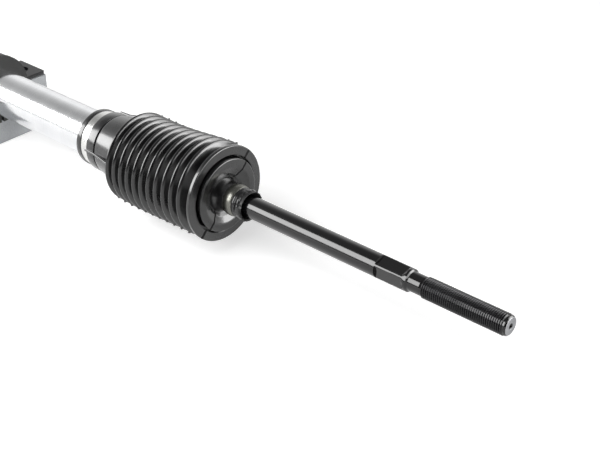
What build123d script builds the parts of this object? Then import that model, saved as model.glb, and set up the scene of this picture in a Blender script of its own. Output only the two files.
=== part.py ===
from build123d import *
import os
from math import acos, cos, pi, radians, sin, tan

# A manual rack and pinion steering gear, in millimetres.
# +X runs along the rack, from the pinion towards the plain end of its tube. +Z is up.
# The origin lies on the mounting plane, midway between the two bolt holes of the
# pinion housing's foot. The rack's axis passes straight above it.
# Each end is drawn from the plane of its boot's front ring, with +X outwards.

# Layout
rack_height = 48.0  # mounting plane to the rack's axis
pinion_to_foot = 38.0  # pinion axis to the foot's bolts, along X
pinion_to_ring = 200.0  # pinion axis to the left boot's front ring
half_span = 350.0  # middle of the rack to each boot's front ring
rack_travel = 60.0  # each way from straight ahead
pinion_lean = 20.0  # degrees that the input shaft leans out, about the rack's axis
travel_stop_gap = 3.0  # left between a ball socket and the tube's end at full lock

# Clearances
running_clearance = 0.05  # radial, shaft in hole
ball_clearance = 0.1  # radial, between spherical faces
loose_clearance = 0.3  # between pieces that move past each other

# Rack bar and tube
bar_r = 12.0
tube_wall = 2.5
tube_insert = 30.0  # length of the tube inside the housing
bush_wall = 2.95
bush_length = 26.0
bush_inset = 2.0  # bush's outer face inside the tube's end
bush_slot_width = 2.0
bush_slots = 3

# Rack and pinion teeth
module_size = 1.6
pinion_teeth = 8
pressure_angle = radians(20)
profile_shift = 0.55
tip_shortening = 0.28  # taken off the shifted pinion's tips
tip_clearance = 0.4
backlash = 0.08
rack_tips = 9.0  # rack's axis to the tips of its teeth
mesh_reach = 12.0  # toothed length beyond the travel, at each end
pinion_face = 23.0  # length of the pinion's teeth

# Pinion shaft and what carries it, measured along its axis from the rack's centre line
lower_journal_r = 5.0
lower_bearing_r = 9.5
lower_bearing_width = 5.0
lower_bearing_seat = -24.0
lower_collar_r = 6.2
lower_collar_top = -14.0
upper_collar_r = 8.2
upper_collar_bottom = 14.0
upper_journal_r = 7.5
upper_bearing_r = 14.0
upper_bearing_width = 7.0
upper_bearing_seat = 17.0
retainer_r = 15.0
retainer_height = 6.0
seal_r = 10.0
seal_height = 5.0
input_r = 7.0
input_start = 40.0
input_end = 66.0
clamp_groove_r = 6.2
clamp_groove_start = 52.0
clamp_groove_width = 5.0
end_chamfer = 1.0

# Pinion housing
barrel_r = 22.0
barrel_reach = 60.0  # pinion axis to the barrel's end on the spigot side
socket_end = 92.0  # pinion axis to the mouth that takes the tube
bar_gap = 1.5  # radial, round the rack bar
tower_lower_r = 14.0
tower_upper_r = 19.5
tower_bottom = -29.0
tower_step = 12.0
tower_top = 33.0
cover_wall = 1.6
cover_skirt = 6.0
cover_collar = 4.0
rib_thickness = 5.0
edge_chamfer = 1.5

# Support yoke, measured outwards from the rack's axis
yoke_r = 12.95
yoke_front = 6.5
yoke_rear = 29.0
yoke_gap = 0.15  # yoke to plug, the play that the plug sets
liner_thickness = 0.95
liner_inset = 0.5
pocket_r = 8.0
pocket_floor = 17.0
ring_groove_depth = 1.85
ring_groove_width = 2.0
ring_groove_at = 24.0
spring_r = 6.0
spring_wire_r = 1.1
spring_turns = 2.5
plug_r = 14.0
plug_end = 52.0
plug_hex = 14.0
plug_hex_depth = 9.0
yoke_boss_r = 18.5
yoke_boss_end = 44.0
locknut_flats = 36.0
locknut_height = 6.5

# Feet and tube mount
foot_spacing = 76.0  # between each foot's two bolts, along Y
bolt_hole_r = 5.5
foot_width = 30.0
foot_thickness = 12.0
foot_boss_r = 13.0
foot_boss_top = 16.0
spot_r = 11.0
spot_height = 26.0
foot_neck = 28.0  # width of the column between foot and barrel
gusset_thickness = 8.0
saddle_from_ring = 270.0  # tube mount's middle to the right boot's front ring
saddle_width = 34.0
saddle_top_drop = 4.0  # saddle's top below the rack's axis
saddle_arm = 22.0  # width of each pillar at the bolts
saddle_flare = 3.0
saddle_base = 10.0
bush_r = 24.5
bush_flange_r = 28.0
bush_flange_width = 4.0
bush_split = 2.5
strap_thickness = 3.0
strap_width = 30.0

# Boot, from the front ring's plane. Heights on the neck are above the tube.
boot_wall = 1.2
neck_end = -129.3
lip_height = 3.8
lip_width = 5.1
lip_round = 0.9
band_seat_height = 2.6
band_width = 6.9
shoulder_height = 4.8
shoulder_width = 8.2
neck_groove_height = 3.7
neck_groove_width = 1.6
neck_height = 5.1
first_crest = -82.7
crest_pitch = 7.32
crest_count = 11
crest_r = 34.6
crest_taper = 2.2  # how much lower the first crest is than the last
crest_bunching = 1.2  # how far the middle crests lie back towards the neck
crest_half = 1.5  # half the width of a crest
valley_r = 27.5
valley_half = 0.7
fold_bulge = 0.6  # height of a crest's or valley's arc, as a share of its half width
ring_r = 34.8
ring_back = -0.8
ring_front = 2.0
ring_round = 1.0
ring_inner_r = 27.9
ring_groove_floor = -2.5
disc_r = 26.3
disc_front = 4.8
disc_round = 0.7
disc_flat_r = 21.0  # inside this, the disc dips into a dish round the cuff
dish_edge = (3.9, 16.4)
dish_bottom = (1.6, 12.9)
cuff_foot = (3.2, 10.9)
cuff_start = 9.0
cuff_tube_r = 10.3
cuff_r = 9.7
cuff_width = 7.9
cuff_lip_r = 10.2
cuff_end = 26.6
cuff_end_r = 8.6
boot_rib_width = 1.2
boot_rib_height = 0.7
boot_ribs = 3
boot_rib_turn = 85.5  # degrees from the top towards the front

# Clamps
band_thickness = 0.7
small_band_thickness = 0.5
ear_width = 9.0
ear_height = 4.5
ear_side = 225.0  # degrees from the top towards the front, so low at the back

# Tie rod and its ball joint, from the front ring's plane
ball_centre = -10.0
ball_r = 12.5
rod_neck_r = 7.0
rod_neck_end = 8.0
rod_r = 7.6
rod_end = 160.5
relief_r = 6.3
thread_start = 170.5
thread_end = 232.5
thread_r = 7.0
thread_chamfer = 1.1
centre_hole_r = 1.6
centre_hole_depth = 4.0
flats_start = 136.4
flats_end = 156.8
flats_runout = 159.0
flats_across = 11.6
flats_turn = 12.0  # degrees round the axis
seat_wall = 1.8
seat_rear = -11.0  # seat's ends, from the ball's centre
seat_front = 6.5
socket_r = 16.0
socket_rear = -45.0
socket_mouth = 7.5  # from the ball's centre
socket_lip = 1.0
stub_r = 7.0
stub_length = 20.0
stub_bore_spare = 4.0
spanner_flats = 28.0
spanner_length = 9.0
washer_thickness = 1.5
washer_r = 15.0
tab_width = 7.0

# Worked out from the above
pinion_x = -pinion_to_foot
centre_x = pinion_x - pinion_to_ring + half_span
tube_end = half_span + socket_rear - rack_travel - travel_stop_gap  # from the middle
tube_start_x = pinion_x + socket_end - tube_insert
tube_end_x = centre_x + tube_end
saddle_x = centre_x + half_span - saddle_from_ring
tube_bore_r = bar_r + running_clearance + bush_wall
tube_r = tube_bore_r + tube_wall
spigot_end = pinion_to_ring + socket_rear - rack_travel - travel_stop_gap
bolt_y = foot_spacing / 2

pitch_r = module_size * pinion_teeth / 2
base_r = pitch_r * cos(pressure_angle)
rack_line = pitch_r + profile_shift * module_size  # pinion axis to the rack's pitch line
rack_tip_gap = rack_line - module_size  # pinion axis to the rack's tips
root_r = rack_tip_gap - tip_clearance
tip_r = pitch_r + module_size * (1 + profile_shift) - tip_shortening
rack_depth = tip_r + tip_clearance - rack_tip_gap
centre_distance = rack_tips + rack_tip_gap
tooth_pitch = pi * module_size
rack_gaps = 2 * int((rack_travel + mesh_reach) / tooth_pitch) + 1
bar_half = half_span + socket_rear - washer_thickness
band_start = neck_end + lip_width
band_seat_r = tube_r + band_seat_height


def turned(*corners):
    """A solid of revolution about X, from corners at (distance along X, radius)."""
    return revolve(Polygon(*corners, align=None), Axis.X)


def rod(radius, start, end):
    """A round bar about X."""
    return turned((start, 0), (end, 0), (end, radius), (start, radius))


def ring(inner_r, outer_r, start, end):
    """A plain ring about X."""
    return turned((start, inner_r), (end, inner_r), (end, outer_r), (start, outer_r))


def upright(part):
    """Turn a part drawn along X so that it stands along Z."""
    return Rot(Y=-90) * part


def leaned(part):
    """Carry a part from the pinion's own frame, centred on the rack's axis, to its place."""
    return Pos(pinion_x, 0, rack_height) * Rot(X=-pinion_lean) * part


def on_pinion(part):
    """Place a part drawn along X on the pinion's axis."""
    return leaned(Pos(0, centre_distance, 0) * upright(part))


def on_yoke(part):
    """Place a part drawn along X on the yoke's axis, square to the pinion and the rack."""
    return leaned(Rot(X=90) * upright(part))


def on_rack(part):
    """Raise a part drawn about X to the rack's axis."""
    return Pos(0, 0, rack_height) * part


def at_end(part, side):
    """Place a part drawn from the ring's plane on the right (1) or the left (-1) end."""
    outward = part if side > 0 else mirror(part, Plane.YZ)
    return on_rack(Pos(centre_x + side * half_span, 0, 0) * outward)


# Teeth


def roll_angle(radius):
    """Involute angle of the pinion's flank at a radius."""
    slope = acos(base_r / radius)
    return tan(slope) - slope


def flank_point(radius, hand):
    """A point on one flank of the pinion tooth that points along +Y."""
    at_pitch = (pi / 2 + 2 * profile_shift * tan(pressure_angle)) / pinion_teeth
    half = at_pitch + roll_angle(pitch_r) - roll_angle(max(radius, base_r))
    return (hand * radius * sin(half), radius * cos(half))


def pinion_tooth():
    """Outline of one pinion tooth, with involute flanks down to the base circle."""
    steps = 5
    radii = [base_r + (tip_r - base_r) * i / steps for i in range(steps + 1)]
    inner = root_r - tip_clearance
    flanks = [Spline(*[flank_point(r, hand) for r in radii]) for hand in (-1, 1)]
    feet = [Line(flank_point(inner, hand), flank_point(base_r, hand)) for hand in (-1, 1)]
    top = Line(flank_point(tip_r, -1), flank_point(tip_r, 1))
    bottom = Line(flank_point(inner, -1), flank_point(inner, 1))
    return make_face([*flanks, *feet, top, bottom])


def rack_gap():
    """Outline of one gap between rack teeth, which face +Y."""
    on_line = tooth_pitch / 4 + backlash / 2
    spread = tan(pressure_angle)
    over = module_size  # the cut starts this far above the tips
    top = on_line + (module_size + over) * spread
    floor = on_line - (rack_depth - module_size) * spread
    high = rack_tips + over
    low = rack_tips - rack_depth
    return Polygon((-top, high), (top, high), (floor, low), (-floor, low), align=None)


def rack_bar():
    bar = rod(bar_r, centre_x - bar_half - pinion_x, centre_x + bar_half - pinion_x)
    flat_length = (rack_gaps + 1) * tooth_pitch
    bar -= Pos(0, rack_tips + bar_r / 2, 0) * Box(flat_length, bar_r, 2 * bar_r)
    gaps = Sketch() + GridLocations(tooth_pitch, 0, rack_gaps, 1) * rack_gap()
    bar -= extrude(gaps, bar_r, both=True)
    for side in (-1, 1):
        face = centre_x - pinion_x + side * bar_half
        depth = stub_length + stub_bore_spare
        bar -= rod(stub_r, *sorted((face, face - side * depth)))
    return leaned(bar)


# Pinion and its bearings


def pinion_shaft():
    shaft = turned(
        (lower_bearing_seat, 0),
        (lower_bearing_seat, lower_journal_r),
        (lower_bearing_seat + lower_bearing_width, lower_journal_r),
        (lower_bearing_seat + lower_bearing_width, lower_collar_r),
        (lower_collar_top, lower_collar_r),
        (lower_collar_top, root_r),
        (upper_collar_bottom, root_r),
        (upper_collar_bottom, upper_collar_r),
        (upper_bearing_seat, upper_collar_r),
        (upper_bearing_seat, upper_journal_r),
        (input_start, upper_journal_r),
        (input_start, input_r),
        (clamp_groove_start, input_r),
        (clamp_groove_start, clamp_groove_r),
        (clamp_groove_start + clamp_groove_width, clamp_groove_r),
        (clamp_groove_start + clamp_groove_width, input_r),
        (input_end - end_chamfer, input_r),
        (input_end, input_r - end_chamfer),
        (input_end, 0),
    )
    outline = Circle(root_r) + PolarLocations(0, pinion_teeth) * pinion_tooth()
    teeth = extrude(outline, pinion_face / 2, both=True)
    return on_pinion(shaft) + leaned(Pos(0, centre_distance, 0) * teeth)


def bearing(inner_r, outer_r, start, width):
    """A shielded ball bearing, its two races parted by a shallow groove on each face."""
    wall = (outer_r - inner_r) / 3
    dish = width / 10
    body = ring(inner_r, outer_r, start, start + width)
    for face in (start, start + width - dish):
        body -= ring(inner_r + wall, outer_r - wall, face, face + dish)
    return on_pinion(body)


def pinion_retainer():
    start = upper_bearing_seat + upper_bearing_width
    nut = ring(seal_r, retainer_r, start, start + retainer_height)
    hole_r = (retainer_r - seal_r) / 4
    hole = Pos(0, (retainer_r + seal_r) / 2, 0) * rod(
        hole_r, start + retainer_height / 2, start + retainer_height
    )
    for turn in range(0, 360, 90):
        nut -= Rot(X=turn) * hole
    return on_pinion(nut)


def pinion_seal():
    start = upper_bearing_seat + upper_bearing_width + retainer_height - seal_height
    end = start + seal_height
    inner = upper_journal_r + running_clearance
    lip = (seal_r - inner) / 2
    return on_pinion(
        turned(
            (start, seal_r),
            (start, inner + lip),
            (start + lip, inner + lip),
            (start + lip, inner),
            (end - lip / 2, inner),
            (end, inner + lip / 2),
            (end, seal_r),
        )
    )


def pinion_dust_cover():
    outer = tower_upper_r + cover_wall
    top = tower_top + cover_wall
    inner = upper_journal_r + loose_clearance
    collar = inner + cover_wall
    return on_pinion(
        turned(
            (tower_top - cover_skirt, tower_upper_r),
            (tower_top - cover_skirt, outer),
            (top - cover_wall, outer),
            (top, outer - cover_wall),
            (top, collar + cover_wall),
            (top + cover_collar, collar),
            (top + cover_collar, inner),
            (tower_top, inner),
            (tower_top, tower_upper_r),
        )
    )


# Housing and tube


def pinion_tower():
    """Upright part of the casting, round the pinion."""
    return turned(
        (tower_bottom, 0),
        (tower_bottom, tower_lower_r - edge_chamfer),
        (tower_bottom + edge_chamfer, tower_lower_r),
        (tower_step - (tower_upper_r - tower_lower_r), tower_lower_r),
        (tower_step, tower_upper_r),
        (tower_top, tower_upper_r),
        (tower_top, 0),
    )


def pinion_bore():
    """Stepped bore that takes the pinion from above."""
    return turned(
        (lower_bearing_seat, 0),
        (lower_bearing_seat, lower_bearing_r),
        (upper_bearing_seat, lower_bearing_r),
        (upper_bearing_seat, upper_bearing_r),
        (upper_bearing_seat + upper_bearing_width, upper_bearing_r),
        (upper_bearing_seat + upper_bearing_width, retainer_r),
        (tower_top, retainer_r),
        (tower_top, 0),
    )


def housing_rib():
    """Web from the tower down to the barrel's spigot end, on the rack's centre plane."""
    reach = barrel_reach - edge_chamfer
    outline = Polygon(
        (-reach, barrel_r - rib_thickness),
        (-reach, barrel_r),
        (-tower_upper_r / 2, tower_top - cover_skirt - edge_chamfer),
        (0, tower_top - cover_skirt - edge_chamfer),
        (0, 0),
        (-reach / 2, 0),
        align=None,
    )
    return extrude(Plane.XZ * outline, rib_thickness / 2, both=True)


def foot():
    """Two-bolt foot and its column, below the barrel's tube end."""
    plate = extrude(
        SlotCenterToCenter(foot_spacing, foot_width, rotation=90), foot_thickness
    )
    plate += Locations((0, bolt_y, 0), (0, -bolt_y, 0)) * Cylinder(
        foot_boss_r, foot_boss_top, align=(Align.CENTER, Align.CENTER, Align.MIN)
    )
    column = Pos(0, 0, rack_height / 2) * Box(foot_neck, foot_neck, rack_height)
    gusset = Polygon(
        (-bolt_y, foot_thickness),
        (bolt_y, foot_thickness),
        (barrel_r, rack_height),
        (-barrel_r, rack_height),
        align=None,
    )
    column += extrude(Plane.YZ * gusset, gusset_thickness / 2, both=True)
    for y in (-bolt_y, bolt_y):
        column -= Pos(0, y, foot_boss_top) * Cylinder(
            spot_r, spot_height, align=(Align.CENTER, Align.CENTER, Align.MIN)
        )
    return plate + column


def bolt_holes(top):
    """A foot's two holes, from the mounting plane up."""
    hole = Cylinder(bolt_hole_r, top, align=(Align.CENTER, Align.CENTER, Align.MIN))
    return Part() + [Pos(0, y, 0) * hole for y in (-bolt_y, bolt_y)]


def pinion_housing():
    barrel = turned(
        (-spigot_end, 0),
        (-spigot_end, tube_r - edge_chamfer / 2),
        (-spigot_end + edge_chamfer / 2, tube_r),
        (-barrel_reach, tube_r),
        (-barrel_reach, barrel_r - edge_chamfer),
        (-barrel_reach + edge_chamfer, barrel_r),
        (socket_end - edge_chamfer, barrel_r),
        (socket_end, barrel_r - edge_chamfer),
        (socket_end, 0),
    )
    boss = rod(yoke_boss_r, 0, yoke_boss_end - edge_chamfer) + rod(
        yoke_boss_r - edge_chamfer, 0, yoke_boss_end
    )
    body = leaned(barrel) + on_pinion(pinion_tower()) + on_yoke(boss)
    body += leaned(Pos(0, centre_distance, 0) * housing_rib()) + foot()
    body -= leaned(rod(bar_r + bar_gap, -spigot_end, socket_end))
    body -= leaned(rod(tube_r, socket_end - tube_insert, socket_end))
    body -= on_pinion(pinion_bore())
    body -= on_yoke(rod(yoke_r + running_clearance, 0, yoke_rear))
    body -= on_yoke(rod(plug_r, yoke_rear, yoke_boss_end))
    return body - bolt_holes(foot_boss_top)


def rack_tube():
    return on_rack(ring(tube_bore_r, tube_r, tube_start_x, tube_end_x))


def rack_bush():
    end = tube_end_x - bush_inset
    start = end - bush_length
    bush = ring(bar_r + running_clearance, tube_bore_r, start, end)
    slot = Pos(end - bush_length / 3, 0, tube_bore_r / 2) * Box(
        2 * bush_length / 3, bush_slot_width, tube_bore_r
    )
    for i in range(bush_slots):
        bush -= Rot(X=360 / bush_slots * i) * slot
    return on_rack(bush)


# Support yoke


def yoke():
    body = ring(0, yoke_r, yoke_front, yoke_rear) - rod(pocket_r, pocket_floor, yoke_rear)
    half = ring_groove_width / 2
    body -= ring(
        yoke_r - ring_groove_depth, yoke_r, ring_groove_at - half, ring_groove_at + half
    )
    return on_yoke(body) - leaned(liner_blank(0))


def liner_blank(inner_r):
    """What the yoke's hollow face is cut by, about the rack's axis."""
    outer_r = bar_r + running_clearance + liner_thickness
    if inner_r:
        return ring(inner_r, outer_r, -yoke_r, yoke_r)
    return rod(outer_r, -yoke_r, yoke_r)


def yoke_liner():
    sheet = leaned(liner_blank(bar_r + running_clearance))
    return sheet & on_yoke(rod(yoke_r - liner_inset, yoke_front + liner_inset, yoke_rear))


def yoke_o_ring():
    section_r = ring_groove_width / 2 - running_clearance
    centre_r = yoke_r + running_clearance - section_r
    circle = Pos(ring_groove_at, centre_r) * Circle(section_r)
    return on_yoke(revolve(circle, Axis.X))


def yoke_spring():
    length = yoke_rear + yoke_gap - pocket_floor - 2 * spring_wire_r
    path = Helix(pitch=length / spring_turns, height=length, radius=spring_r)
    wire = sweep(Plane(path @ 0, z_dir=path % 0) * Circle(spring_wire_r), path, is_frenet=True)
    return leaned(Rot(X=90) * Pos(0, 0, pocket_floor + spring_wire_r) * wire)


def hexagon(across_flats):
    return RegularPolygon(across_flats / 2, 6, major_radius=False)


def yoke_plug():
    start = yoke_rear + yoke_gap
    plug = rod(plug_r, start, plug_end - end_chamfer)
    plug += rod(plug_r - end_chamfer, start, plug_end)
    recess = Pos(0, 0, plug_end - plug_hex_depth) * extrude(hexagon(plug_hex), plug_hex_depth)
    return on_yoke(plug) - leaned(Rot(X=90) * recess)


def yoke_locknut():
    outline = hexagon(locknut_flats) - Circle(plug_r)
    nut = Pos(0, 0, yoke_boss_end) * extrude(outline, locknut_height)
    return leaned(Rot(X=90) * nut)


# Tube mount


def mount_saddle():
    outer = bolt_y + saddle_arm / 2
    top = rack_height - saddle_top_drop
    outline = Polygon(
        (-outer - saddle_flare, 0),
        (outer + saddle_flare, 0),
        (outer + saddle_flare, saddle_base),
        (outer, saddle_base + saddle_flare),
        (outer, top),
        (-outer, top),
        (-outer, saddle_base + saddle_flare),
        (-outer - saddle_flare, saddle_base),
        align=None,
    )
    outline -= Pos(0, rack_height) * Circle(bush_r)
    block = extrude(Plane.YZ * outline, saddle_width / 2, both=True)
    return Pos(saddle_x, 0, 0) * (block - bolt_holes(top))


def mount_bush():
    half = saddle_width / 2
    outline = turned(
        (-half - bush_flange_width, tube_r),
        (-half - bush_flange_width, bush_flange_r),
        (-half, bush_flange_r),
        (-half, bush_r),
        (half, bush_r),
        (half, bush_flange_r),
        (half + bush_flange_width, bush_flange_r),
        (half + bush_flange_width, tube_r),
    )
    length = saddle_width + 2 * bush_flange_width
    outline -= Pos(0, 0, -bush_flange_r / 2) * Box(length, bush_split, bush_flange_r)
    return on_rack(Pos(saddle_x, 0, 0) * outline)


def mount_strap():
    outer = bolt_y + saddle_arm / 2
    low = rack_height - saddle_top_drop
    arch = Pos(0, rack_height) * (Circle(bush_r + strap_thickness) - Circle(bush_r))
    above = Pos(0, low + bush_r) * Rectangle(4 * bush_r, 2 * bush_r)
    flange = Pos(0, low + strap_thickness / 2) * Rectangle(2 * outer, strap_thickness)
    flange -= Pos(0, rack_height) * Circle(bush_r)
    strap = extrude(Plane.YZ * ((arch & above) + flange), strap_width / 2, both=True)
    return Pos(saddle_x, 0, 0) * (strap - bolt_holes(low + strap_thickness))


# Boots and clamps


def fold(middle, radius, half, hand):
    """Three points of a crest's arc (hand -1) or a valley's (hand 1)."""
    edge = radius + hand * fold_bulge * half
    return [(middle - half, edge), (middle, radius), (middle + half, edge)]


def crest(i):
    """Place and radius of a crest, counted from the neck."""
    share = i / (crest_count - 1)
    place = first_crest + i * crest_pitch - crest_bunching * sin(pi * share)
    return place, crest_r - crest_taper * (1 - share) ** 2


def bellows(inset):
    """Points of the convolutions, from the neck outwards, moved in by a wall."""
    points = []
    for i in range(crest_count):
        middle, radius = crest(i)
        points += fold(middle, radius - inset, crest_half - inset, -1)
        valley = (middle + crest(i + 1)[0]) / 2
        points += fold(valley, valley_r - inset, valley_half + inset, 1)
    return points


def folded(points):
    """Edges along fold points: each three are an arc, and lines join the arcs."""
    arcs = [ThreePointArc(*points[i : i + 3]) for i in range(0, len(points), 3)]
    links = [Line(points[i], points[i + 1]) for i in range(2, len(points) - 1, 3)]
    return arcs + links


def boot():
    """A boot with its convolutions, drawn from the front ring's plane."""
    band_end = band_start + band_width
    groove = band_end + shoulder_width
    neck = groove + neck_groove_width
    neck_top = first_crest - crest_pitch / 2
    cuff_lip = cuff_start + cuff_width
    cuff_bore = rod_r + loose_clearance
    disc_in = disc_r - boot_wall
    outside = bellows(0)
    inside = bellows(boot_wall)[::-1]
    neck_corners = [
        (neck_end, tube_r),
        (neck_end, tube_r + lip_height - lip_round),
        (neck_end + lip_round, tube_r + lip_height),
        (band_start - lip_round, tube_r + lip_height),
        (band_start, tube_r + lip_height - lip_round),
        (band_start, band_seat_r),
        (band_end, band_seat_r),
        (band_end, tube_r + shoulder_height - lip_round),
        (band_end + lip_round, tube_r + shoulder_height),
        (groove, tube_r + shoulder_height),
        (groove, tube_r + neck_groove_height),
        (neck, tube_r + neck_groove_height),
        (neck, tube_r + neck_height),
        (neck_top, valley_r - valley_half),
        outside[0],
    ]
    ring_corners = [
        outside[-1],
        (ring_back, ring_r - ring_round),
        (ring_back + ring_round, ring_r),
        (ring_front - ring_round, ring_r),
        (ring_front, ring_r - ring_round),
        (ring_front, ring_inner_r),
        (ring_groove_floor, ring_inner_r),
        (ring_groove_floor, disc_r),
        (disc_front - disc_round, disc_r),
        (disc_front, disc_r - disc_round),
        (disc_front, disc_flat_r),
    ]
    tube_end = (cuff_start, cuff_tube_r)
    dish = Spline(
        ring_corners[-1], dish_edge, dish_bottom, cuff_foot, tube_end, tangents=((0, -1), (1, 0))
    )
    cuff_corners = [
        tube_end,
        (cuff_start, cuff_r),
        (cuff_lip, cuff_r),
        (cuff_lip, cuff_lip_r),
        (cuff_lip + lip_round, cuff_lip_r),
        (cuff_end, cuff_end_r),
        (cuff_end, cuff_bore),
        (cuff_start, cuff_bore),
        (cuff_foot[0], cuff_foot[1] - 1.5 * boot_wall),
        (dish_bottom[0] - boot_wall, dish_bottom[1] - boot_wall),
        (dish_bottom[0] - boot_wall, dish_bottom[1] + boot_wall / 2),
        (dish_edge[0] - boot_wall, dish_edge[1] + boot_wall / 2),
        (disc_front - boot_wall, disc_flat_r),
        (disc_front - boot_wall, disc_in),
        (ring_groove_floor - boot_wall, disc_in),
        inside[0],
    ]
    back_corners = [
        inside[-1],
        (neck_top, valley_r - valley_half - boot_wall),
        (neck, tube_r + neck_groove_height - boot_wall),
        (groove, tube_r),
        (neck_end, tube_r),
    ]
    sides = [Polyline(*c) for c in (neck_corners, ring_corners, cuff_corners, back_corners)]
    profile = make_face([*sides, dish, *folded(outside), *folded(inside)])
    body = revolve(profile, Axis.X)
    rib = Polygon(
        (band_end, tube_r + band_seat_height),
        (band_end, tube_r + shoulder_height + boot_rib_height),
        (neck, tube_r + neck_height + boot_rib_height),
        (neck_top + crest_half, valley_r + boot_rib_height),
        (neck_top + crest_half, valley_r - boot_wall),
        (neck, tube_r + neck_groove_height - boot_wall / 2),
        (groove, tube_r + neck_groove_height - boot_wall),
        align=None,
    )
    fin = extrude(Plane.XZ * rib, boot_rib_width / 2, both=True)
    for i in range(boot_ribs):
        body += Rot(X=boot_rib_turn + 360 / boot_ribs * i) * fin
    return body


def ear_clamp(inner_r, thickness, start, width):
    """A one-ear band clamp, its ear pinched up from the band."""
    band = ring(inner_r, inner_r + thickness, start, start + width)
    foot_r = inner_r + thickness / 2
    top = inner_r + ear_height
    half = ear_width / 2
    outer = Polygon(
        (-half, foot_r), (-half * 0.7, top), (half * 0.7, top), (half, foot_r), align=None
    )
    inner = Polygon(
        (-half + 2 * thickness, inner_r + thickness),
        (-half * 0.7 + thickness, top - thickness),
        (half * 0.7 - thickness, top - thickness),
        (half - 2 * thickness, inner_r + thickness),
        align=None,
    )
    ear = extrude(Plane.YZ * (outer - inner), width / 2, both=True)
    return Rot(X=ear_side) * (band + Pos(start + width / 2, 0, 0) * ear)


def large_clamp():
    return ear_clamp(band_seat_r, band_thickness, band_start, band_width)


def small_clamp():
    inner_r = cuff_r + loose_clearance
    return ear_clamp(inner_r, small_band_thickness, cuff_start, cuff_width)


# Tie rod and ball joint


def tie_rod():
    body = turned(
        (ball_centre, 0),
        (ball_centre, rod_neck_r),
        (rod_neck_end, rod_neck_r),
        (rod_neck_end + rod_r - rod_neck_r, rod_r),
        (rod_end, rod_r),
        (rod_end, relief_r),
        (thread_start, relief_r),
        (thread_start, thread_r),
        (thread_end - thread_chamfer, thread_r),
        (thread_end, thread_r - thread_chamfer),
        (thread_end, 0),
    )
    body += Pos(ball_centre, 0, 0) * Sphere(ball_r)
    body -= turned(
        (thread_end, 0),
        (thread_end, centre_hole_r),
        (thread_end - centre_hole_depth + centre_hole_r, centre_hole_r),
        (thread_end - centre_hole_depth, 0),
    )
    flat = Polygon(
        (flats_start, flats_across / 2),
        (flats_end, flats_across / 2),
        (flats_runout, rod_r),
        (flats_start, rod_r),
        align=None,
    )
    cut = extrude(Plane.XZ * flat, rod_r, both=True)
    for i in range(4):
        body -= Rot(X=flats_turn + 90 * i) * cut
    return body


def spherical_slice(radius, start, end):
    """The part of a ball about the ball's centre between two planes across X."""
    slab = Pos((start + end) / 2, 0, 0) * Box(end - start, 4 * radius, 4 * radius)
    return Sphere(radius) & slab


def ball_seat():
    inner_r = ball_r + ball_clearance
    outer_r = inner_r + seat_wall
    shell = spherical_slice(outer_r, seat_rear, seat_front) - Sphere(inner_r)
    return Pos(ball_centre, 0, 0) * shell


def inner_socket():
    cavity_r = ball_r + 2 * ball_clearance + seat_wall
    rear = socket_rear - ball_centre
    mouth_r = (cavity_r**2 - socket_mouth**2) ** 0.5
    body = turned(
        (rear - washer_thickness - stub_length, 0),
        (rear - washer_thickness - stub_length, stub_r),
        (rear, stub_r),
        (rear, socket_r),
        (0, socket_r),
        (socket_mouth, mouth_r + 2 * socket_lip),
        (socket_mouth, 0),
    )
    body -= Sphere(cavity_r)
    body -= turned(
        (0, 0),
        (socket_mouth - socket_lip, 0),
        (socket_mouth - socket_lip, mouth_r),
        (socket_mouth, mouth_r + socket_lip),
        (socket_mouth, 0),
    )
    slab = Box(spanner_length, 2 * socket_r, socket_r)
    for hand in (-1, 1):
        middle = spanner_flats / 2 + socket_r / 2
        body -= Pos(rear + spanner_length / 2, 0, hand * middle) * slab
    return Pos(ball_centre, 0, 0) * body


def lock_washer():
    start = socket_rear - washer_thickness
    body = ring(stub_r, washer_r, start, socket_rear)
    for hand in (-1, 1):
        middle = spanner_flats / 2 + washer_thickness / 2
        tab = Box(spanner_length, tab_width, washer_thickness)
        body += Pos(start + spanner_length / 2, 0, hand * middle) * tab
    return body


def build():
    """Every node of the assembly, by name."""
    nodes = {
        "pinion_housing": pinion_housing(),
        "rack_tube": rack_tube(),
        "rack_bush": rack_bush(),
        "mount_saddle": mount_saddle(),
        "mount_bush": mount_bush(),
        "mount_strap": mount_strap(),
        "rack_bar": rack_bar(),
        "pinion_shaft": pinion_shaft(),
        "lower_bearing": bearing(
            lower_journal_r + running_clearance,
            lower_bearing_r,
            lower_bearing_seat,
            lower_bearing_width - running_clearance,
        ),
        "upper_bearing": bearing(
            upper_journal_r + running_clearance,
            upper_bearing_r,
            upper_bearing_seat + running_clearance,
            upper_bearing_width - running_clearance,
        ),
        "pinion_retainer": pinion_retainer(),
        "pinion_seal": pinion_seal(),
        "pinion_dust_cover": pinion_dust_cover(),
        "yoke": yoke(),
        "yoke_liner": yoke_liner(),
        "yoke_o_ring": yoke_o_ring(),
        "yoke_spring": yoke_spring(),
        "yoke_plug": yoke_plug(),
        "yoke_locknut": yoke_locknut(),
    }
    ends = {
        "boot": boot(),
        "large_clamp": large_clamp(),
        "small_clamp": small_clamp(),
        "inner_socket": inner_socket(),
        "lock_washer": lock_washer(),
        "ball_seat": ball_seat(),
        "tie_rod": tie_rod(),
    }
    for name, part in ends.items():
        nodes[f"right_{name}"] = at_end(part, 1)
        nodes[f"left_{name}"] = at_end(part, -1)
    return nodes


if __name__ == "__main__":
    os.makedirs("parts", exist_ok=True)
    for name, part in build().items():
        export_step(part, f"parts/{name}.step")
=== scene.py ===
from math import atan2, cos, degrees, pi, radians, sin

import bmesh
import bpy
from bpy.props import FloatProperty, FloatVectorProperty, IntProperty, PointerProperty
from mathutils import Matrix, Vector, noise


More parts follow.
